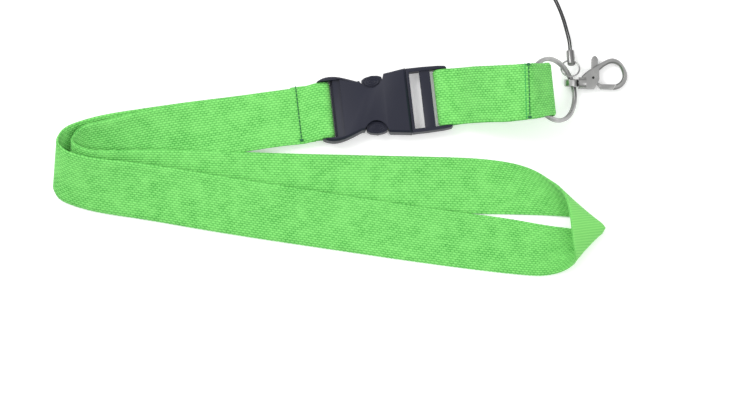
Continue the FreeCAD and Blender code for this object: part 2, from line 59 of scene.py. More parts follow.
camera = {
    "lookAt": (12.55, -15.6, 0.0),
    "elevation": 80.0,
    "distance": 3660.0,
    "lens": 500.0,
}


# camera first, then the floor and the lights

def addCamera():
    data = bpy.data.cameras.new("lookDown")
    data.lens = camera["lens"]
    data.sensor_width = 36.0
    view = bpy.data.objects.new("lookDown", data)
    rise = math.radians(camera["elevation"])
    target = Vector(camera["lookAt"]) * mm
    away = Vector((0.0, -math.cos(rise), math.sin(rise)))
    view.location = target + away * camera["distance"] * mm
    view.rotation_euler = away.to_track_quat("Z", "Y").to_euler()
    bpy.context.scene.collection.objects.link(view)
    bpy.context.scene.camera = view
    bpy.context.scene.view_settings.view_transform = "Standard"  # keeps the lime as strong as it is


light = {
    "skyTop": 1.05,
    "skyEdge": 0.25,
    "floorTone": 0.95,
    "floorGlow": 0.22,
    "keyPower": 3.6,
    "keySize": 500.0,
    "keyPlace": (-420.0, 320.0, 620.0),
    "fillPower": 0.9,
    "fillPlace": (450.0, -250.0, 500.0),
}


def addLight(name, power, size, place):
    data = bpy.data.lights.new(name, "AREA")
    data.energy = power
    data.shape = "DISK"
    data.size = size * mm
    lamp = bpy.data.objects.new(name, data)
    lamp.location = Vector(place) * mm
    lamp.rotation_euler = Vector(place).to_track_quat("Z", "Y").to_euler()
    bpy.context.scene.collection.objects.link(lamp)


def addStudio():
    world = bpy.data.worlds.new("studioSky")
    world.use_nodes = True
    add = world.node_tree.nodes.new
    link = world.node_tree.links.new
    split = add("ShaderNodeSeparateXYZ")
    link(add("ShaderNodeTexCoord").outputs["Generated"], split.inputs[0])
    fade = add("ShaderNodeMapRange")  # the sky is brightest overhead, as under a large soft box
    fade.inputs["From Min"].default_value = 0.0
    fade.inputs["From Max"].default_value = 0.9
    fade.inputs["To Min"].default_value = light["skyEdge"]
    fade.inputs["To Max"].default_value = light["skyTop"]
    link(split.outputs["Z"], fade.inputs["Value"])
    link(fade.outputs[0], world.node_tree.nodes["Background"].inputs["Strength"])
    world.node_tree.nodes["Background"].inputs["Color"].default_value = (1.0, 1.0, 1.0, 1.0)
    bpy.context.scene.world = world
    addLight("keyLight", light["keyPower"], light["keySize"], light["keyPlace"])
    addLight("fillLight", light["fillPower"], light["keySize"], light["fillPlace"])
    half = 3.0
    mesh = bpy.data.meshes.new("floor")
    corners = [(-half, -half, 0.0), (half, -half, 0.0), (half, half, 0.0), (-half, half, 0.0)]
    mesh.from_pydata(corners, [], [(0, 1, 2, 3)])
    floor = bpy.data.objects.new("floor", mesh)
    bpy.context.scene.collection.objects.link(floor)
    tone = light["floorTone"]
    paint = bpy.data.materials.new("paleFloor")
    paint.use_nodes = True
    shader = paint.node_tree.nodes["Principled BSDF"]
    shader.inputs["Base Color"].default_value = (tone, tone, tone, 1.0)
    shader.inputs["Roughness"].default_value = 0.9
    shader.inputs["Emission Color"].default_value = (1.0, 1.0, 1.0, 1.0)
    shader.inputs["Emission Strength"].default_value = light["floorGlow"]
    mesh.materials.append(paint)


addCamera()
addStudio()
print("camera, floor and lights ready")


# materials

class Shades:  # a short hand for wiring one material's nodes
    def __init__(self, name):
        self.material = bpy.data.materials.new(name)
        self.material.use_nodes = True
        self.tree = self.material.node_tree
        self.shader = self.tree.nodes["Principled BSDF"]

    def add(self, kind, **settings):
        node = self.tree.nodes.new(kind)
        for key, value in settings.items():
            setattr(node, key, value)
        return node

    def link(self, source, target):
        self.tree.links.new(source, target)

    def math(self, operation, first, second=0.0, third=0.0):
        node = self.add("ShaderNodeMath", operation=operation)
        for socket, value in zip(node.inputs, (first, second, third)):
            if hasattr(value, "links"):
                self.link(value, socket)
            else:
                socket.default_value = value
        return node.outputs[0]

    def noise(self, scale, detail=2.0):
        node = self.add("ShaderNodeTexNoise")
        node.inputs["Scale"].default_value = scale
        node.inputs["Detail"].default_value = detail
        self.link(self.add("ShaderNodeTexCoord").outputs["Object"], node.inputs["Vector"])
        return node.outputs["Fac"]

    def ramp(self, factor, stops):
        node = self.add("ShaderNodeValToRGB")
        ramp = node.color_ramp
        while len(ramp.elements) < len(stops):
            ramp.elements.new(0.5)
        for element, (place, colour) in zip(ramp.elements, stops):
            element.position = place
            element.color = (*colour, 1.0)
        self.link(factor, node.inputs["Fac"])
        return node.outputs["Color"]

    def mix(self, factor, first, second):
        node = self.add("ShaderNodeMix", data_type="RGBA")
        colours = ((node.inputs[0], factor), (node.inputs[6], first), (node.inputs[7], second))
        for socket, value in colours:
            if hasattr(value, "links"):
                self.link(value, socket)
            else:
                socket.default_value = value if isinstance(value, float) else (*value, 1.0)
        return node.outputs[2]

    def bump(self, height, distance, strength=1.0, under=None):
        node = self.add("ShaderNodeBump")
        node.inputs["Strength"].default_value = strength
        node.inputs["Distance"].default_value = distance * mm
        self.link(height, node.inputs["Height"])
        if under is not None:
            self.link(under, node.inputs["Normal"])
        return node.outputs["Normal"]

    def finish(self, colour=None, normal=None, roughness=None, **fixed):
        for key, value in fixed.items():
            self.shader.inputs[key.replace("_", " ")].default_value = value
        for name, value in (("Base Color", colour), ("Normal", normal), ("Roughness", roughness)):
            socket = self.shader.inputs[name]
            if hasattr(value, "links"):
                self.link(value, socket)
            elif value is not None:
                socket.default_value = value if isinstance(value, float) else (*value, 1.0)
        return self.material


webbing = {
    "width": 20.0,
    "thickness": 1.0,
    "stitchLength": 1.5,  # one brick of the weave, along the strap
    "rowPitch": 0.82,  # and across it
    "light": (0.235, 0.73, 0.175),
    "body": (0.15, 0.565, 0.115),
    "gap": (0.03, 0.28, 0.032),
    "relief": 0.2,
    "ribPitch": 0.9,  # ribs of the reverse side
    "ribSlant": 12.0,
    "ribHigh": (0.235, 0.68, 0.165),
    "ribLow": (0.175, 0.585, 0.13),
    "wobbleScale": 420.0,
    "patchScale": 170.0,
    "fibreScale": 2600.0,
    "fibreRelief": 0.05,
    "roughness": 0.82,
    "barSlack": 0.15,  # gap between a bar and the webbing folded round it
}


def webbingCloth():
    shades = Shades("limeWebbing")
    along = shades.add("ShaderNodeUVMap", uv_map="weave")
    split = shades.add("ShaderNodeSeparateXYZ")
    shades.link(along.outputs["UV"], split.inputs[0])
    length = split.outputs["X"]  # UV is in millimetres: along the strap, then across it
    across = split.outputs["Y"]
    wobble = shades.noise(webbing["wobbleScale"])
    wobble = shades.math("MULTIPLY_ADD", wobble, 0.5, -0.25)
    row = shades.math("DIVIDE", shades.math("ADD", across, wobble), webbing["rowPitch"])
    rowNumber = shades.math("FLOOR", row)
    shift = shades.math("MULTIPLY", shades.math("MODULO", rowNumber, 2.0), 0.5)
    column = shades.math("DIVIDE", shades.math("ADD", length, wobble), webbing["stitchLength"])
    column = shades.math("ADD", column, shift)
    rowArch = shades.math("SINE", shades.math("MULTIPLY", shades.math("FRACT", row), math.pi))
    columnArch = shades.math("SINE", shades.math("MULTIPLY", shades.math("FRACT", column), math.pi))
    rowArch = shades.math("POWER", rowArch, 0.7)
    loop = shades.math("MULTIPLY", rowArch, shades.math("POWER", columnArch, 0.55))
    cell = shades.add("ShaderNodeCombineXYZ")
    shades.link(rowNumber, cell.inputs["X"])
    shades.link(shades.math("FLOOR", column), cell.inputs["Y"])
    odd = shades.add("ShaderNodeTexWhiteNoise", noise_dimensions="2D")  # each stitch a little different
    shades.link(cell.outputs[0], odd.inputs["Vector"])
    patch = shades.noise(webbing["patchScale"], 3.0)
    worn = shades.math("MULTIPLY_ADD", patch, 0.5, -0.12)
    worn = shades.math("MULTIPLY_ADD", odd.outputs["Value"], 0.2, worn)
    shown = shades.math("ADD", shades.math("MULTIPLY", loop, 0.72), worn)
    stops = [(0.1, webbing["gap"]), (0.48, webbing["body"]), (0.95, webbing["light"])]
    colour = shades.ramp(shown, stops)
    place = shades.add("ShaderNodeSeparateXYZ")
    shades.link(shades.add("ShaderNodeTexCoord").outputs["Object"], place.inputs[0])
    slant = math.radians(webbing["ribSlant"])
    pace = 2 * math.pi / (webbing["ribPitch"] * mm)
    rib = shades.math("MULTIPLY", place.outputs["X"], -math.sin(slant) * pace)
    rib = shades.math("MULTIPLY_ADD", place.outputs["Y"], math.cos(slant) * pace, rib)
    rib = shades.math("SINE", rib)
    rib = shades.math("MULTIPLY_ADD", rib, 0.5, 0.5)
    ribColour = shades.ramp(rib, [(0.05, webbing["ribLow"]), (0.9, webbing["ribHigh"])])
    turned = shades.add("ShaderNodeAttribute", attribute_name="turned").outputs["Fac"]
    colour = shades.mix(turned, colour, ribColour)  # the folded corner shows the smooth reverse
    relief = shades.add("ShaderNodeMix", data_type="FLOAT")
    shades.link(turned, relief.inputs[0])
    shades.link(loop, relief.inputs[2])
    shades.link(shades.math("MULTIPLY", rib, 0.35), relief.inputs[3])
    fibre = shades.noise(webbing["fibreScale"])
    normal = shades.bump(fibre, webbing["fibreRelief"], 0.5)
    normal = shades.bump(relief.outputs[0], webbing["relief"], 0.8, normal)
    return shades.finish(colour, normal, webbing["roughness"], Sheen_Weight=0.12,
                         Sheen_Roughness=0.45, Specular_IOR_Level=0.25)


threadTwist = {
    "scale": 1400.0,
    "relief": 0.05,
    "roughness": 0.7,
}


def threadCloth(name, dark, bright):
    shades = Shades(name)
    wave = shades.add("ShaderNodeTexWave", wave_type="BANDS", bands_direction="DIAGONAL")
    wave.inputs["Scale"].default_value = threadTwist["scale"]
    coords = shades.add("ShaderNodeTexCoord")
    shades.link(coords.outputs["Object"], wave.inputs["Vector"])
    twist = wave.outputs["Fac"]
    colour = shades.ramp(twist, [(0.1, dark), (0.9, bright)])
    normal = shades.bump(twist, threadTwist["relief"], 0.6)
    return shades.finish(colour, normal, threadTwist["roughness"])


plastic = {
    "colour": (0.0065, 0.0075, 0.019),
    "light": (0.012, 0.0135, 0.029),
    "grain": 0.03,
    "grainScale": 2200.0,
    "cloudScale": 90.0,
}


def bucklePlastic():
    shades = Shades("darkPlastic")
    grain = shades.noise(plastic["grainScale"], 3.0)
    cloud = shades.noise(plastic["cloudScale"])
    colour = shades.mix(cloud, plastic["colour"], plastic["light"])
    roughness = shades.math("MULTIPLY_ADD", cloud, 0.16, 0.36)
    normal = shades.bump(grain, plastic["grain"], 0.55)
    return shades.finish(colour, normal, roughness, Specular_IOR_Level=0.32)


metal = {
    "bright": (0.50, 0.50, 0.49),
    "dull": (0.27, 0.27, 0.27),
    "roughness": 0.27,
    "smearScale": 260.0,
    "grain": 0.02,
    "grainScale": 3200.0,
}


def platedSteel(name, darkening=1.0):
    shades = Shades(name)
    smear = shades.noise(metal["smearScale"], 4.0)
    bright = [c * darkening for c in metal["bright"]]
    dull = [c * darkening for c in metal["dull"]]
    colour = shades.mix(smear, bright, dull)
    grain = shades.noise(metal["grainScale"])
    roughness = shades.math("MULTIPLY_ADD", smear, 0.22, metal["roughness"] - 0.08)
    return shades.finish(colour, shades.bump(grain, metal["grain"], 0.4), roughness, Metallic=1.0)


braidLook = {
    "scale": 900.0,
    "distortion": 1.5,
    "dark": (0.004, 0.004, 0.005),
    "light": (0.022, 0.022, 0.025),
    "relief": 0.06,
    "roughness": 0.55,
}


def cordBraid():
    shades = Shades("blackBraid")
    coords = shades.add("ShaderNodeTexCoord")
    wave = shades.add("ShaderNodeTexWave", wave_type="BANDS", bands_direction="DIAGONAL")
    wave.inputs["Scale"].default_value = braidLook["scale"]
    wave.inputs["Distortion"].default_value = braidLook["distortion"]
    shades.link(coords.outputs["Object"], wave.inputs["Vector"])
    braid = wave.outputs["Fac"]
    colour = shades.ramp(braid, [(0.2, braidLook["dark"]), (0.9, braidLook["light"])])
    normal = shades.bump(braid, braidLook["relief"], 0.8)
    return shades.finish(colour, normal, braidLook["roughness"], Sheen_Weight=0.15)


cloth = webbingCloth()
thread = threadCloth("greenThread", (0.008, 0.09, 0.03), (0.02, 0.19, 0.06))
lightThread = threadCloth("leafThread", (0.03, 0.33, 0.08), (0.07, 0.50, 0.12))
plasticSkin = bucklePlastic()
steel = platedSteel("satinSteel")
# the hook, crimp and lever pin are darker copies of the same plated steel: only their colour is scaled
# down
hookSteel = platedSteel("hookSteel", 0.82)
crimpSteel = platedSteel("crimpSteel", 0.6)
rivetSteel = platedSteel("rivetSteel", 0.08)
braidSkin = cordBraid()
print("materials ready")


# places and small helpers

def direction(turn, lean=0.0):
    flat = math.cos(math.radians(lean))
    turnRad = math.radians(turn)
    return Vector((flat * math.cos(turnRad), flat * math.sin(turnRad), math.sin(math.radians(lean))))


centre = Vector(layout["tableCentre"])
up = Vector((0.0, 0.0, 1.0))
buckleAlong = direction(layout["buckleHeading"])
buckleAcross = direction(layout["buckleHeading"] + 90)
ringDown = direction(layout["ringHeading"], -layout["ringTilt"])
ringSide = direction(layout["ringHeading"] + 90)
ringNormal = direction(layout["ringHeading"], 90 - layout["ringTilt"])


def bucklePoint(x, y=0.0, z=0.0):
    return Vector(layout["buckleCentre"]) + buckleAlong * x + buckleAcross * y + up * z


def ringPoint(down, side=0.0, rise=0.0):
    return Vector(layout["ringCentre"]) + ringDown * down + ringSide * side + ringNormal * rise


def newPiece(name, mesh, material, body=None, stands=()):
    piece = bpy.data.objects.new(name, mesh)
    bpy.context.scene.collection.objects.link(piece)
    mesh.materials.clear()
    mesh.materials.append(material)
    if body:
        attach(piece, body)
    if stands:
        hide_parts(*stands)
    return piece


def bakedMesh(piece):
    bpy.context.view_layer.update()
    live = piece.evaluated_get(bpy.context.evaluated_depsgraph_get())
    mesh = bpy.data.meshes.new_from_object(live)
    piece.modifiers.clear()
    piece.data = mesh
    return mesh


def smoothShade(mesh, angle=35.0):
    work = bmesh.new()
    work.from_mesh(mesh)
    limit = math.radians(angle)
    for face in work.faces:
        face.smooth = True
    for edge in work.edges:
        edge.smooth = len(edge.link_faces) == 2 and edge.calc_face_angle(0.0) < limit
    work.to_mesh(mesh)
    work.free()


def faceOutward(mesh):
    work = bmesh.new()
    work.from_mesh(mesh)
    bmesh.ops.recalc_face_normals(work, faces=work.faces)
    work.to_mesh(mesh)
    work.free()


softEdges = {
    "weld": 0.002,
    "flatAngle": 0.6,  # degrees, faces flatter than this are joined first
    "edgeAngle": 28.0,
    "segments": 3,
}


def softened(node, name, material, slotName, body, width):
    mesh = nodes[node].data.copy()
    work = bmesh.new()
    work.from_mesh(mesh)
    bmesh.ops.remove_doubles(work, verts=work.verts, dist=softEdges["weld"] * mm)
    flat = math.radians(softEdges["flatAngle"])
    bmesh.ops.dissolve_limit(work, angle_limit=flat, verts=work.verts, edges=work.edges)
    work.to_mesh(mesh)
    work.free()
    piece = newPiece(name, mesh, material)
    bevel = piece.modifiers.new("softEdge", "BEVEL")
    bevel.width = width * mm
    bevel.segments = softEdges["segments"]
    bevel.limit_method = "ANGLE"
    bevel.angle_limit = math.radians(softEdges["edgeAngle"])
    bevel.use_clamp_overlap = True
    bakedMesh(piece)
    smoothShade(piece.data)
    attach(piece, body)
    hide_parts(node)


# webbing: a smooth ribbon through stations of middle, direction across and half the width

def splineThrough(values, places, samples):
    count = len(places)
    gaps = np.diff(places)
    system = np.zeros((count, count))
    right = np.zeros((count, values.shape[1]))
    system[0, 0] = system[-1, -1] = 1.0
    for i in range(1, count - 1):
        system[i, i - 1] = gaps[i - 1]
        system[i, i] = 2 * (gaps[i - 1] + gaps[i])
        system[i, i + 1] = gaps[i]
        slopeAfter = (values[i + 1] - values[i]) / gaps[i]
        slopeBefore = (values[i] - values[i - 1]) / gaps[i - 1]
        right[i] = 6 * (slopeAfter - slopeBefore)
    bend = np.linalg.solve(system, right)
    found = np.clip(np.searchsorted(places, samples, side="right") - 1, 0, count - 2)
    step = gaps[found][:, None]
    low = (samples - places[found])[:, None]
    high = step - low
    curve = bend[found] * high ** 3 + bend[found + 1] * low ** 3
    curve = curve / (6 * step)
    curve += (values[found] / step - bend[found] * step / 6) * high
    curve += (values[found + 1] / step - bend[found + 1] * step / 6) * low
    return curve


ribbonLook = {
    "alongStep": 0.75,
    "acrossCount": 18,
    "edgeRound": 0.42,
    "selvedge": 0.09,  # the woven edge stands this much proud
    "selvedgeWidth": 1.3,
    "selvedgeInset": 0.9,
    "ridgeShare": 0.6,
    "scallop": 0.005,  # the weft turns show as small waves on the edge, a share of the half width
    "edgeBunch": 0.85,
    "slopeStep": 0.05,
    "reverseFade": 4.0,
}


def ribbonMesh(name, stations, closed=False, reverseFrom=1000.0):
    middles = np.array([list(s[0]) for s in stations])
    halves = np.array([list(s[1] * s[2]) for s in stations])
    if closed:
        wrap = 3
        middles = np.vstack([middles[-wrap:], middles, middles[:wrap + 1]])
        halves = np.vstack([halves[-wrap:], halves, halves[:wrap + 1]])
    lengths = np.linalg.norm(np.diff(middles, axis=0), axis=1)
    places = np.concatenate([[0.0], np.cumsum(lengths)])
    first, last = (places[wrap], places[-wrap - 1]) if closed else (0.0, places[-1])
    count = int((last - first) / ribbonLook["alongStep"])
    samples = np.linspace(first, last, count + 1)
    line = splineThrough(middles, places, samples)
    half = splineThrough(halves, places, samples)
    step = ribbonLook["slopeStep"]
    ahead = splineThrough(middles, places, np.minimum(samples + step, places[-1]))
    behind = splineThrough(middles, places, np.maximum(samples - step, 0.0))
    along = ahead - behind
    normal = np.cross(along, half)
    normal /= np.linalg.norm(normal, axis=1)[:, None]
    run = np.concatenate([[0.0], np.cumsum(np.linalg.norm(np.diff(line, axis=0), axis=1))])
    if closed:
        line, half, normal = line[:-1], half[:-1], normal[:-1]
    thick = webbing["thickness"] / 2
    profile = []
    steps = ribbonLook["acrossCount"]
    for i in range(steps + 1):
        v = -1 + 2 * i / steps
        v = math.copysign(abs(v) ** ribbonLook["edgeBunch"], v)
        fromEdge = (1 - abs(v)) * webbing["width"] / 2
        inset = 1 - min(1.0, fromEdge / ribbonLook["edgeRound"])
        rise = thick * min(1.0, math.sqrt(max(0.0, 1 - inset ** 2)))
        fromRidge = (fromEdge - ribbonLook["selvedgeInset"]) / (ribbonLook["selvedgeWidth"] / 2)
        ridge = ribbonLook["selvedge"] * ribbonLook["ridgeShare"] * math.exp(-fromRidge ** 2)
        profile.append((v, rise, ridge if rise > 0.9 * thick else 0.0))
    verts = []
    rings = len(line)
    ring = 2 * steps
    for k in range(rings):
        wave = 1 + ribbonLook["scallop"] * math.sin(run[k] * 2 * math.pi / webbing["stitchLength"])
        for v, rise, ridge in profile:
            verts.append(line[k] + half[k] * v * wave + normal[k] * (rise + ridge))
        for v, rise, ridge in reversed(profile[1:-1]):
            verts.append(line[k] + half[k] * v * wave - normal[k] * (rise + ridge))
    verts = (np.array(verts) - np.array(centre)) * mm
    faces = []
    spans = rings if closed else rings - 1
    for k in range(spans):
        a, b = k * ring, ((k + 1) % rings) * ring
        for i in range(ring):
            j = (i + 1) % ring
            faces.append((a + i, b + i, b + j, a + j))
    if not closed:
        faces.append(tuple(range(ring)))
        faces.append(tuple(reversed(range((rings - 1) * ring, rings * ring))))
    mesh = bpy.data.meshes.new(name)
    mesh.from_pydata([tuple(v) for v in verts], [], faces)
    turned = mesh.attributes.new("turned", "FLOAT", "POINT")
    for index, vertex in enumerate(mesh.vertices):
        side = index % ring
        beyond = vertex.co.x / mm - reverseFrom
        if 0 < side < steps and beyond > 0:
            turned.data[index].value = min(1.0, beyond / ribbonLook["reverseFade"])
    layer = mesh.uv_layers.new(name="weave")
    acrossAt = [p[0] for p in profile] + [p[0] for p in reversed(profile[1:-1])]
    for polygon in mesh.polygons:
        index = polygon.index
        span = index // ring
        for loop in polygon.loop_indices:
            vertex = mesh.loops[loop].vertex_index
            place = vertex // ring
            distance = run[place]
            if closed and span == spans - 1 and place == 0:
                distance = run[-1]
            v = (acrossAt[vertex % ring] + 1) * webbing["width"] / 2
            layer.data[loop].uv = (distance, v)
    faceOutward(mesh)
    smoothShade(mesh, 60.0)
    return mesh


def wrapStations(place, heading, radius, first, final, steps, halfWidth):
    along = direction(heading)
    across = direction(heading + 90)
    stations = []
    for step in range(steps + 1):
        angle = math.radians(first + (final - first) * step / steps)
        middle = place + along * (radius * math.cos(angle)) + up * (radius * math.sin(angle))
        stations.append((middle, across, halfWidth))
    return stations


neckStrap = {
    "reverseFrom": 78.0,  # past here the face towards the inside of the loop is the smooth reverse
    "barX": -20.7,
    "barRadius": 1.1,
    "halfWidth": 10.0,
    "overBar": (3.0, 4.75),  # how far before the bar, and how high
    "underBar": (4.0, 1.8),
    "tailEnd": (11.6, 1.85),
    # middle of the strap, turn and lean of the direction across, half the width
    "stations": [
        (-10.0, 18.5, 0.7, -83, 0, 10), (-17.5, 17.5, 0.7, -83, 0, 10),
        (-35.0, 15.0, 0.9, -83, -1, 10), (-52.5, 12.5, 1.8, -82.5, -7, 10),
        (-70.0, 9.7, 3.4, -81, -16, 10), (-83.5, 7.4, 5.0, -83, -26, 10),
        (-92.8, 5.1, 6.2, -87.5, -34, 10), (-98.0, 2.7, 7.0, -91.5, -39, 10),
        (-100.0, -0.2, 7.2, -95.5, -40, 10), (-99.0, -3.0, 7.0, -96.5, -38, 10),
        (-94.5, -5.7, 6.5, -94.5, -35, 10), (-86.5, -7.7, 5.8, -91, -30, 10),
        (-74.0, -9.3, 4.7, -89, -23, 10), (-52.5, -12.5, 3.2, -88, -14, 10),
        (-28.0, -16.4, 2.4, -87, -9.5, 10), (-4.0, -20.0, 1.9, -86, -7, 10),
        (21.5, -23.8, 1.5, -85, -5, 10), (46.5, -27.2, 1.2, -84, -3.5, 10),
        (63.5, -29.3, 0.8, -86, -0.5, 9.7), (74.3, -30.4, 0.9, -98, 0, 8.7),
        (81.6, -30.2, 1.5, -110, 5, 7.7), (86.4, -29.2, 3.4, -132, 15, 7.0),
        (86.9, -25.3, 5.4, -158, 25, 6.8), (86.5, -20.7, 5.9, -195, 27, 7.4),
        (84.8, -16.5, 4.8, -215, 19, 8.2), (79.9, -12.6, 2.8, -227, 11, 9.0),
        (71.9, -9.8, 1.5, -240, 5, 9.5), (59.8, -8.0, 0.85, -251.5, 1, 10),
        (35.0, -6.9, 0.8, -268, 0.5, 10), (-4.0, -6.1, 1.0, -270, 2, 10),
        (-39.5, -5.2, 1.7, -268, 6.5, 10), (-58.5, -4.7, 2.6, -265.5, 12, 10),
        (-75.0, -4.6, 3.9, -265.5, 20, 9.7), (-84.5, -4.3, 5.0, -267.5, 27, 9.4),
        (-91.2, -2.9, 5.9, -271.5, 33, 9.4), (-94.5, 0.0, 6.7, -272, 36, 9.6),
        (-92.5, 2.8, 7.1, -272.5, 35, 10), (-86.0, 5.0, 6.7, -270, 29, 10),
        (-70.0, 8.6, 5.2, -262, 19, 10), (-52.5, 11.7, 3.6, -262.5, 9, 10),
        (-35.0, 14.5, 2.9, -263, 2, 10), (-17.5, 16.9, 3.1, -263, 0, 10),
        (-13.0, 17.5, 3.15, -263, 0, 10),
    ],
}


def makeNeckStrap():
    stations = []
    for x, y, z, turn, lean, halfWidth in neckStrap["stations"]:
        stations.append((Vector((x, y, z)), direction(turn, lean), halfWidth))
    half = neckStrap["halfWidth"]
    bar = bucklePoint(neckStrap["barX"], 0, layout["barHeight"])
    radius = neckStrap["barRadius"] + webbing["barSlack"] + webbing["thickness"] / 2
    wrapped = wrapStations(bar, layout["buckleHeading"], radius, 90, -90, 6, half)
    beside = []
    for back, height in (neckStrap["overBar"], neckStrap["underBar"], neckStrap["tailEnd"]):
        beside.append((bucklePoint(neckStrap["barX"] - back, 0, height), buckleAcross, half))
    stations += beside[:1] + wrapped + beside[1:]
    mesh = ribbonMesh("neckWebbing", stations, reverseFrom=neckStrap["reverseFrom"])
    piece = newPiece("neckWebbing", mesh, cloth, "neck_side", ("neck_strap",))


shortStrap = {
    "barX": 20.3,
    "barRadius": 1.15,
    "plyOffset": 0.7,
    "flexPoint": (59.6, 22.7, 18.2),
    "flexSlope": 24.0,
    "flexReach": 4.0,
    "seam": -13.8,
    "seamShift": -1.3,
    "fold": -3.1,
    "foldShift": -0.2,
    "foldTurn": 3.5,
    "halfGap": 1.55,
    "mouthGap": 1.4,
    "seamNormal": (6, 78.5),
    "seamOffset": 0.76,
    "seamAcross": 91.5,  # headings of the direction across, as the strap turns to the ring
    "flexAcross": 91.0,
    "riseAcross": 91.2,
    "mouthAcross": 94.0,
    "seamHalf": 9.8,  # and half the width, as it narrows
    "riseHalf": 9.9,
    "mouthHalf": 9.7,
    "foldHalf": 9.5,
    "riseShares": (0.35, 0.7),
    "mouthPlace": (-11.9, -1.1),
    "besideFold": (-6.5, -0.6),
    # middle of the doubled strap from the buckle to the flex line: x, y, z, slope, heading
    "run": [(40.5, 24.0, 4.9, 30, 5), (47.0, 23.7, 9.7, 38, 4), (53.5, 23.1, 14.5, 34, 2.5)],
}


def makeShortStrap():
    half = webbing["width"] / 2
    foldTurn = math.radians(shortStrap["foldTurn"])
    foldAcross = ringSide * math.cos(foldTurn) + ringDown * math.sin(foldTurn)
    top = []
    bottom = []
    flex = Vector(shortStrap["flexPoint"])
    flexNormal = direction(0, shortStrap["flexSlope"] + 90)
    seam = ringPoint(shortStrap["seam"], shortStrap["seamShift"])
    seamNormal = direction(*shortStrap["seamNormal"])
    riseAcross = direction(shortStrap["riseAcross"])
    foldHalf = shortStrap["foldHalf"]
    for side, stations in ((1, top), (-1, bottom)):
        for x, y, z, slope, heading in shortStrap["run"]:
            normal = direction(heading, slope + 90) * (side * shortStrap["plyOffset"])
            stations.append((Vector((x, y, z)) + normal, direction(heading + 90), half))
        normal = flexNormal * (side * shortStrap["plyOffset"])
        stations.append((flex + normal, direction(shortStrap["flexAcross"]), half))
        for share in shortStrap["riseShares"]:
            middle = flex + (seam - flex) * share + normal
            stations.append((middle, riseAcross, shortStrap["riseHalf"]))
        middle = seam + seamNormal * (side * shortStrap["seamOffset"])
        stations.append((middle, direction(shortStrap["seamAcross"]), shortStrap["seamHalf"]))
        mouth = ringPoint(*shortStrap["mouthPlace"], side * shortStrap["mouthGap"])
        stations.append((mouth, direction(shortStrap["mouthAcross"]), shortStrap["mouthHalf"]))
        beside = ringPoint(*shortStrap["besideFold"], side * shortStrap["halfGap"])
        stations.append((beside, foldAcross, foldHalf))
    fold = []
    for angle in range(90, -91, -30):
        angleRad = math.radians(angle)
        down = shortStrap["fold"] + shortStrap["halfGap"] * math.cos(angleRad)
        rise = shortStrap["halfGap"] * math.sin(angleRad)
        fold.append((ringPoint(down, shortStrap["foldShift"], rise), foldAcross, foldHalf))
    bar = bucklePoint(shortStrap["barX"], 0, layout["barHeight"])
    radius = shortStrap["barRadius"] + webbing["barSlack"] + webbing["thickness"] / 2
    barFold = wrapStations(bar, layout["buckleHeading"], radius, 290, 95, 7, half)
    stations = barFold + top + fold + list(reversed(bottom))
    mesh = ribbonMesh("shortWebbing", stations, closed=True)
    piece = newPiece("shortWebbing", mesh, cloth)
    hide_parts("short_strap_run", "short_strap_pocket")
    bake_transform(piece)


makeNeckStrap()
makeShortStrap()


# thread: one node tree lays stitches along a line

stitches = {
    "count": 15,
    "length": 1.3,
    "radius": 0.2,
    "sink": 0.07,
    "knotLength": 0.75,
    "knotRadius": 0.34,
}


def treeInput(tree, name, kind, value):
    item = tree.interface.new_socket(name=name, in_out="INPUT", socket_type=kind)
    item.default_value = value
    return item.identifier


def stitchTree():
    tree = bpy.data.node_groups.new("seamStitches", "GeometryNodeTree")
    tree.interface.new_socket(name="Seam line", in_out="INPUT", socket_type="NodeSocketGeometry")
    ids = {
        "count": treeInput(tree, "Stitch count", "NodeSocketInt", stitches["count"]),
        "length": treeInput(tree, "Stitch length", "NodeSocketFloat", stitches["length"] * mm),
        "radius": treeInput(tree, "Thread radius", "NodeSocketFloat", stitches["radius"] * mm),
    }
    tree.interface.new_socket(name="Stitches", in_out="OUTPUT", socket_type="NodeSocketGeometry")
    add = tree.nodes.new
    link = tree.links.new
    start = add("NodeGroupInput")
    end = add("NodeGroupOutput")
    toCurve = add("GeometryNodeMeshToCurve")
    link(start.outputs["Seam line"], toCurve.inputs[0])
    resample = add("GeometryNodeResampleCurve")
    link(toCurve.outputs[0], resample.inputs["Curve"])
    link(start.outputs["Stitch count"], resample.inputs["Count"])
    ball = add("GeometryNodeMeshUVSphere")
    ball.inputs["Segments"].default_value = 10
    ball.inputs["Rings"].default_value = 8
    ball.inputs["Radius"].default_value = 1.0
    size = add("ShaderNodeCombineXYZ")
    halfLength = add("ShaderNodeMath")
    halfLength.operation = "MULTIPLY"
    halfLength.inputs[1].default_value = 0.5
    link(start.outputs["Stitch length"], halfLength.inputs[0])
    link(halfLength.outputs[0], size.inputs["X"])
    link(start.outputs["Thread radius"], size.inputs["Y"])
    link(start.outputs["Thread radius"], size.inputs["Z"])
    tangent = add("GeometryNodeInputTangent")
    turn = add("FunctionNodeAlignRotationToVector")
    turn.axis = "X"
    link(tangent.outputs[0], turn.inputs["Vector"])
    lay = add("GeometryNodeInstanceOnPoints")
    link(resample.outputs[0], lay.inputs["Points"])
    link(ball.outputs[0], lay.inputs["Instance"])
    link(turn.outputs[0], lay.inputs["Rotation"])
    link(size.outputs[0], lay.inputs["Scale"])
    realize = add("GeometryNodeRealizeInstances")
    link(lay.outputs[0], realize.inputs[0])
    link(realize.outputs[0], end.inputs["Stitches"])
    return tree, ids


seamTree, seamInputs = stitchTree()


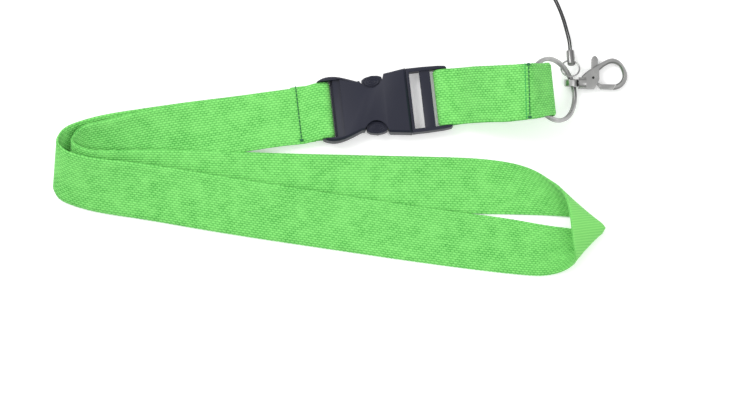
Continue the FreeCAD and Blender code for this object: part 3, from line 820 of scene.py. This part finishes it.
def sewSeam(name, points, body, node, cover=thread, knots=()):
    mesh = bpy.data.meshes.new(name)
    place = [tuple((p - centre) * mm) for p in points]
    mesh.from_pydata(place, [(i, i + 1) for i in range(len(place) - 1)], [])
    piece = bpy.data.objects.new(name, mesh)
    bpy.context.scene.collection.objects.link(piece)
    modifier = piece.modifiers.new("stitches", "NODES")
    modifier.node_group = seamTree
    modifier[seamInputs["count"]] = stitches["count"]
    modifier[seamInputs["length"]] = stitches["length"] * mm
    modifier[seamInputs["radius"]] = stitches["radius"] * mm
    baked = bakedMesh(piece)
    work = bmesh.new()
    work.from_mesh(baked)
    for knot in knots:
        made = bmesh.ops.create_uvsphere(work, u_segments=12, v_segments=8, radius=1.0)
        size = (stitches["knotLength"], stitches["knotRadius"] * 1.5, stitches["knotRadius"])
        stretch = Matrix.Diagonal((*[v * mm for v in size], 1.0))
        shape = Matrix.Translation((knot - centre) * mm) @ stretch
        bmesh.ops.transform(work, matrix=shape, verts=made["verts"])
    work.to_mesh(baked)
    work.free()
    smoothShade(baked, 80.0)
    baked.materials.clear()
    baked.materials.append(cover)
    for polygon in baked.polygons:
        polygon.material_index = 0
    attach(piece, body)
    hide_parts(node)


seams = {
    "secondRow": 1.25,  # the tonal row lies this far towards the buckle
    "secondRowSlope": 12.0,
    "neckSeamX": -30.4,
    "neckSeamZ": 3.66,
    "halfWidth": 9.4,
}


def makeSeams():
    proud = stitches["radius"] - stitches["sink"]
    rise = seams["neckSeamZ"] + proud
    ends = [bucklePoint(seams["neckSeamX"], side * seams["halfWidth"], rise) for side in (1, -1)]
    sewSeam("neckSeam", ends, "neck_side", "neck_strap_stitches", knots=[ends[1]])
    rise = shortStrap["seamOffset"] + webbing["thickness"] / 2 + proud
    middle = ringPoint(shortStrap["seam"], shortStrap["seamShift"])
    middle = middle + direction(*shortStrap["seamNormal"]) * rise
    across = direction(shortStrap["seamAcross"])
    ends = [middle + across * (side * seams["halfWidth"]) for side in (1, -1)]
    sewSeam("ringSeam", ends, "strap_end", "short_strap_stitches", knots=ends)
    back = direction(shortStrap["seamAcross"] - 90, seams["secondRowSlope"]) * seams["secondRow"]
    second = [end - back for end in ends]
    sewSeam("ringSeamLight", second, "strap_end", "short_strap_stitches", lightThread)


makeSeams()
print("seams sewn")


# hardware

splitRing = {
    "outer": 11.85,
    "inner": 10.35,
    "coil": 0.66,
    "gap": 0.37,  # each coil's middle lies this far from the ring's plane
    "corner": 0.28,
    "steps": 320,
    "startAngle": 150.0,
    "slack": 16.0,
}


def makeSplitRing():
    ring = splitRing
    middle = (ring["outer"] + ring["inner"]) / 2
    halfR = (ring["outer"] - ring["inner"]) / 2
    halfZ = ring["coil"] / 2 - 0.01
    corner = ring["corner"]
    section = []
    for cx, cz, first in ((1, 1, 0), (-1, 1, 90), (-1, -1, 180), (1, -1, 270)):
        for k in range(4):
            angle = math.radians(first + 30 * k)
            r = cx * (halfR - corner) + corner * math.cos(angle)
            z = cz * (halfZ - corner) + corner * math.sin(angle)
            section.append((r, z))
    startAngle = math.radians(ring["startAngle"])
    slack = math.radians(ring["slack"])
    verts = []
    faces = []
    count = ring["steps"]
    for k in range(count + 1):
        t = slack + (4 * math.pi - 2 * slack) * k / count
        shift = min(1.0, max(0.0, (t - 2 * math.pi + slack) / (2 * slack)))
        rise = ring["gap"] * (2 * (shift * shift * (3 - 2 * shift)) - 1)
        angle = startAngle + t
        for r, z in section:
            radius = middle + r
            point = ringPoint(radius * math.cos(angle), radius * math.sin(angle), z + rise)
            verts.append(tuple((point - centre) * mm))
    ringCount = len(section)
    for k in range(count):
        for i in range(ringCount):
            j = (i + 1) % ringCount
            a = k * ringCount
            faces.append((a + i, a + j, a + ringCount + j, a + ringCount + i))
    faces.append(tuple(reversed(range(ringCount))))
    faces.append(tuple(range(count * ringCount, (count + 1) * ringCount)))
    mesh = bpy.data.meshes.new("splitRing")
    mesh.from_pydata(verts, [], faces)
    faceOutward(mesh)
    smoothShade(mesh, 50.0)
    newPiece("splitRing", mesh, steel, "ring", ("split_ring",))


thumbPad = {
    "middle": (-3.8, 8.35),
    "top": 5.3,
    "ovals": [(2.75, 1.55), (1.75, 0.92), (0.8, 0.35)],
    "ridge": 0.2,
    "steps": 56,
    "sides": 8,
}


def makeGrip(name, body, side):
    work = bmesh.new()
    count = thumbPad["steps"]
    sides = thumbPad["sides"]
    for wide, deep in thumbPad["ovals"]:
        rings = []
        for k in range(count):
            angle = 2 * math.pi * k / count
            outward = Vector((math.cos(angle) / wide, math.sin(angle) / deep, 0.0)).normalized()
            x = thumbPad["middle"][0] + wide * math.cos(angle)
            y = thumbPad["middle"][1] + deep * math.sin(angle)
            loop = []
            for turn in range(sides):
                lift = math.radians(360 / sides * turn)
                reach = thumbPad["ridge"] * math.cos(lift)
                rise = thumbPad["top"] + thumbPad["ridge"] * math.sin(lift)
                point = bucklePoint(x + outward.x * reach, side * (y + outward.y * reach), rise)
                loop.append(work.verts.new((point - centre) * mm))
            rings.append(loop)
        for k in range(count):
            after = rings[(k + 1) % count]
            for turn in range(sides):
                other = (turn + 1) % sides
                work.faces.new((rings[k][turn], rings[k][other], after[other], after[turn]))
    bmesh.ops.recalc_face_normals(work, faces=work.faces)
    mesh = bpy.data.meshes.new(name)
    work.to_mesh(mesh)
    work.free()
    smoothShade(mesh, 60.0)
    newPiece(name, mesh, plasticSkin, body)


# a dark plastic bar fills the slot opening between the folded webbing and the socket body: it stands in
# for the shade inside the slot, as painted shade
slotShadeBar = {"x": (-18.38, -17.3), "halfWidth": 10.1, "z": (2.9, 3.7)}


def makeSlotShadeBar():
    work = bmesh.new()
    made = bmesh.ops.create_cube(work, size=1.0)
    low, high = slotShadeBar["x"]
    bottom, top = slotShadeBar["z"]
    for vertex in made["verts"]:
        x = high if vertex.co.x > 0 else low
        y = math.copysign(slotShadeBar["halfWidth"], vertex.co.y)
        z = top if vertex.co.z > 0 else bottom
        vertex.co = (bucklePoint(x, y, z) - centre) * mm
    bmesh.ops.bevel(work, geom=work.edges[:], offset=0.15 * mm, segments=2, affect="EDGES")
    mesh = bpy.data.meshes.new("slotShadeBar")
    work.to_mesh(mesh)
    work.free()
    smoothShade(mesh, 40.0)
    newPiece("slotShadeBar", mesh, plasticSkin, "neck_side")


makeSplitRing()
makeGrip("gripLeft", "prong_left", 1)
makeGrip("gripRight", "prong_right", -1)
makeSlotShadeBar()
for softPiece in (
    ("buckle_female", "buckleSocket", plasticSkin, "buckle_plastic", "neck_side", 0.3),
    ("buckle_male_frame", "buckleFrame", plasticSkin, "buckle_plastic", "male_half", 0.35),
    ("prong_left", "prongLeft", plasticSkin, "buckle_plastic", "prong_left", 0.25),
    ("prong_right", "prongRight", plasticSkin, "buckle_plastic", "prong_right", 0.25),
    ("swivel_eye", "swivelEye", steel, "plated_steel", "swivel", 0.12),
    ("hook_body", "hookBody", hookSteel, "plated_steel", "hook", 0.2),
    ("hook_lever", "hookLever", hookSteel, "plated_steel", "lever", 0.15),
    ("cord_crimp", "cordCrimp", crimpSteel, "plated_steel", "cord_end", 0.1),
):
    softened(*softPiece)
for name, finish in (("jump_ring", steel), ("hook_lever_pin", rivetSteel)):
    nodes[name].data.materials.clear()
    nodes[name].data.materials.append(finish)
print("hardware ready")


# the cord: both ends in the crimp, its far end a small loop

cordRoute = {
    "exit": (80.661, 40.752, 2.553),
    "diameter": 0.6,
    "length": 125.0,
    "points": [
        (0.38, 0.0, 0.0), (0.32, 1.5, -0.35), (0.0, 4.3, -1.2), (-0.85, 7.7, -1.9),
        (-1.85, 11.6, -2.2), (-3.75, 16.7, -2.2), (-6.75, 22.8, -2.2), (-11.85, 29.2, -2.2),
        (-18.85, 33.7, -2.2), (-26.55, 35.4, -2.2), (-33.55, 35.6, -2.2), (-38.55, 33.6, -2.2),
        (-39.75, 30.0, -2.2), (-36.55, 27.6, -2.2), (-31.05, 29.2, -2.2), (-25.55, 31.6, -2.2),
        (-19.45, 32.4, -2.2), (-12.55, 28.2, -2.2), (-7.35, 22.2, -2.2), (-4.27, 16.2, -2.2),
        (-2.49, 11.3, -2.2), (-1.49, 7.4, -1.9), (-0.68, 4.1, -1.2), (-0.4, 1.5, -0.35),
        (-0.38, 0.0, 0.0),
    ],
}


def makeCord():
    data = bpy.data.curves.new("phoneCord", "CURVE")
    data.dimensions = "3D"
    spline = data.splines.new("NURBS")
    spline.points.add(len(cordRoute["points"]) - 1)
    places = [(Vector(cordRoute["exit"]) + Vector(p) - centre) * mm for p in cordRoute["points"]]
    for point, place in zip(spline.points, places):
        point.co = (*place, 1.0)
    spline.order_u = 3
    spline.use_endpoint_u = True
    spline.resolution_u = 8
    data.bevel_depth = cordRoute["diameter"] / 2 * mm
    data.bevel_resolution = 4
    data.materials.append(braidSkin)
    piece = bpy.data.objects.new("phoneCord", data)
    bpy.context.scene.collection.objects.link(piece)
    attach(piece, "cord_end")
    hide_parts("phone_cord")


makeCord()
print("cord ready")
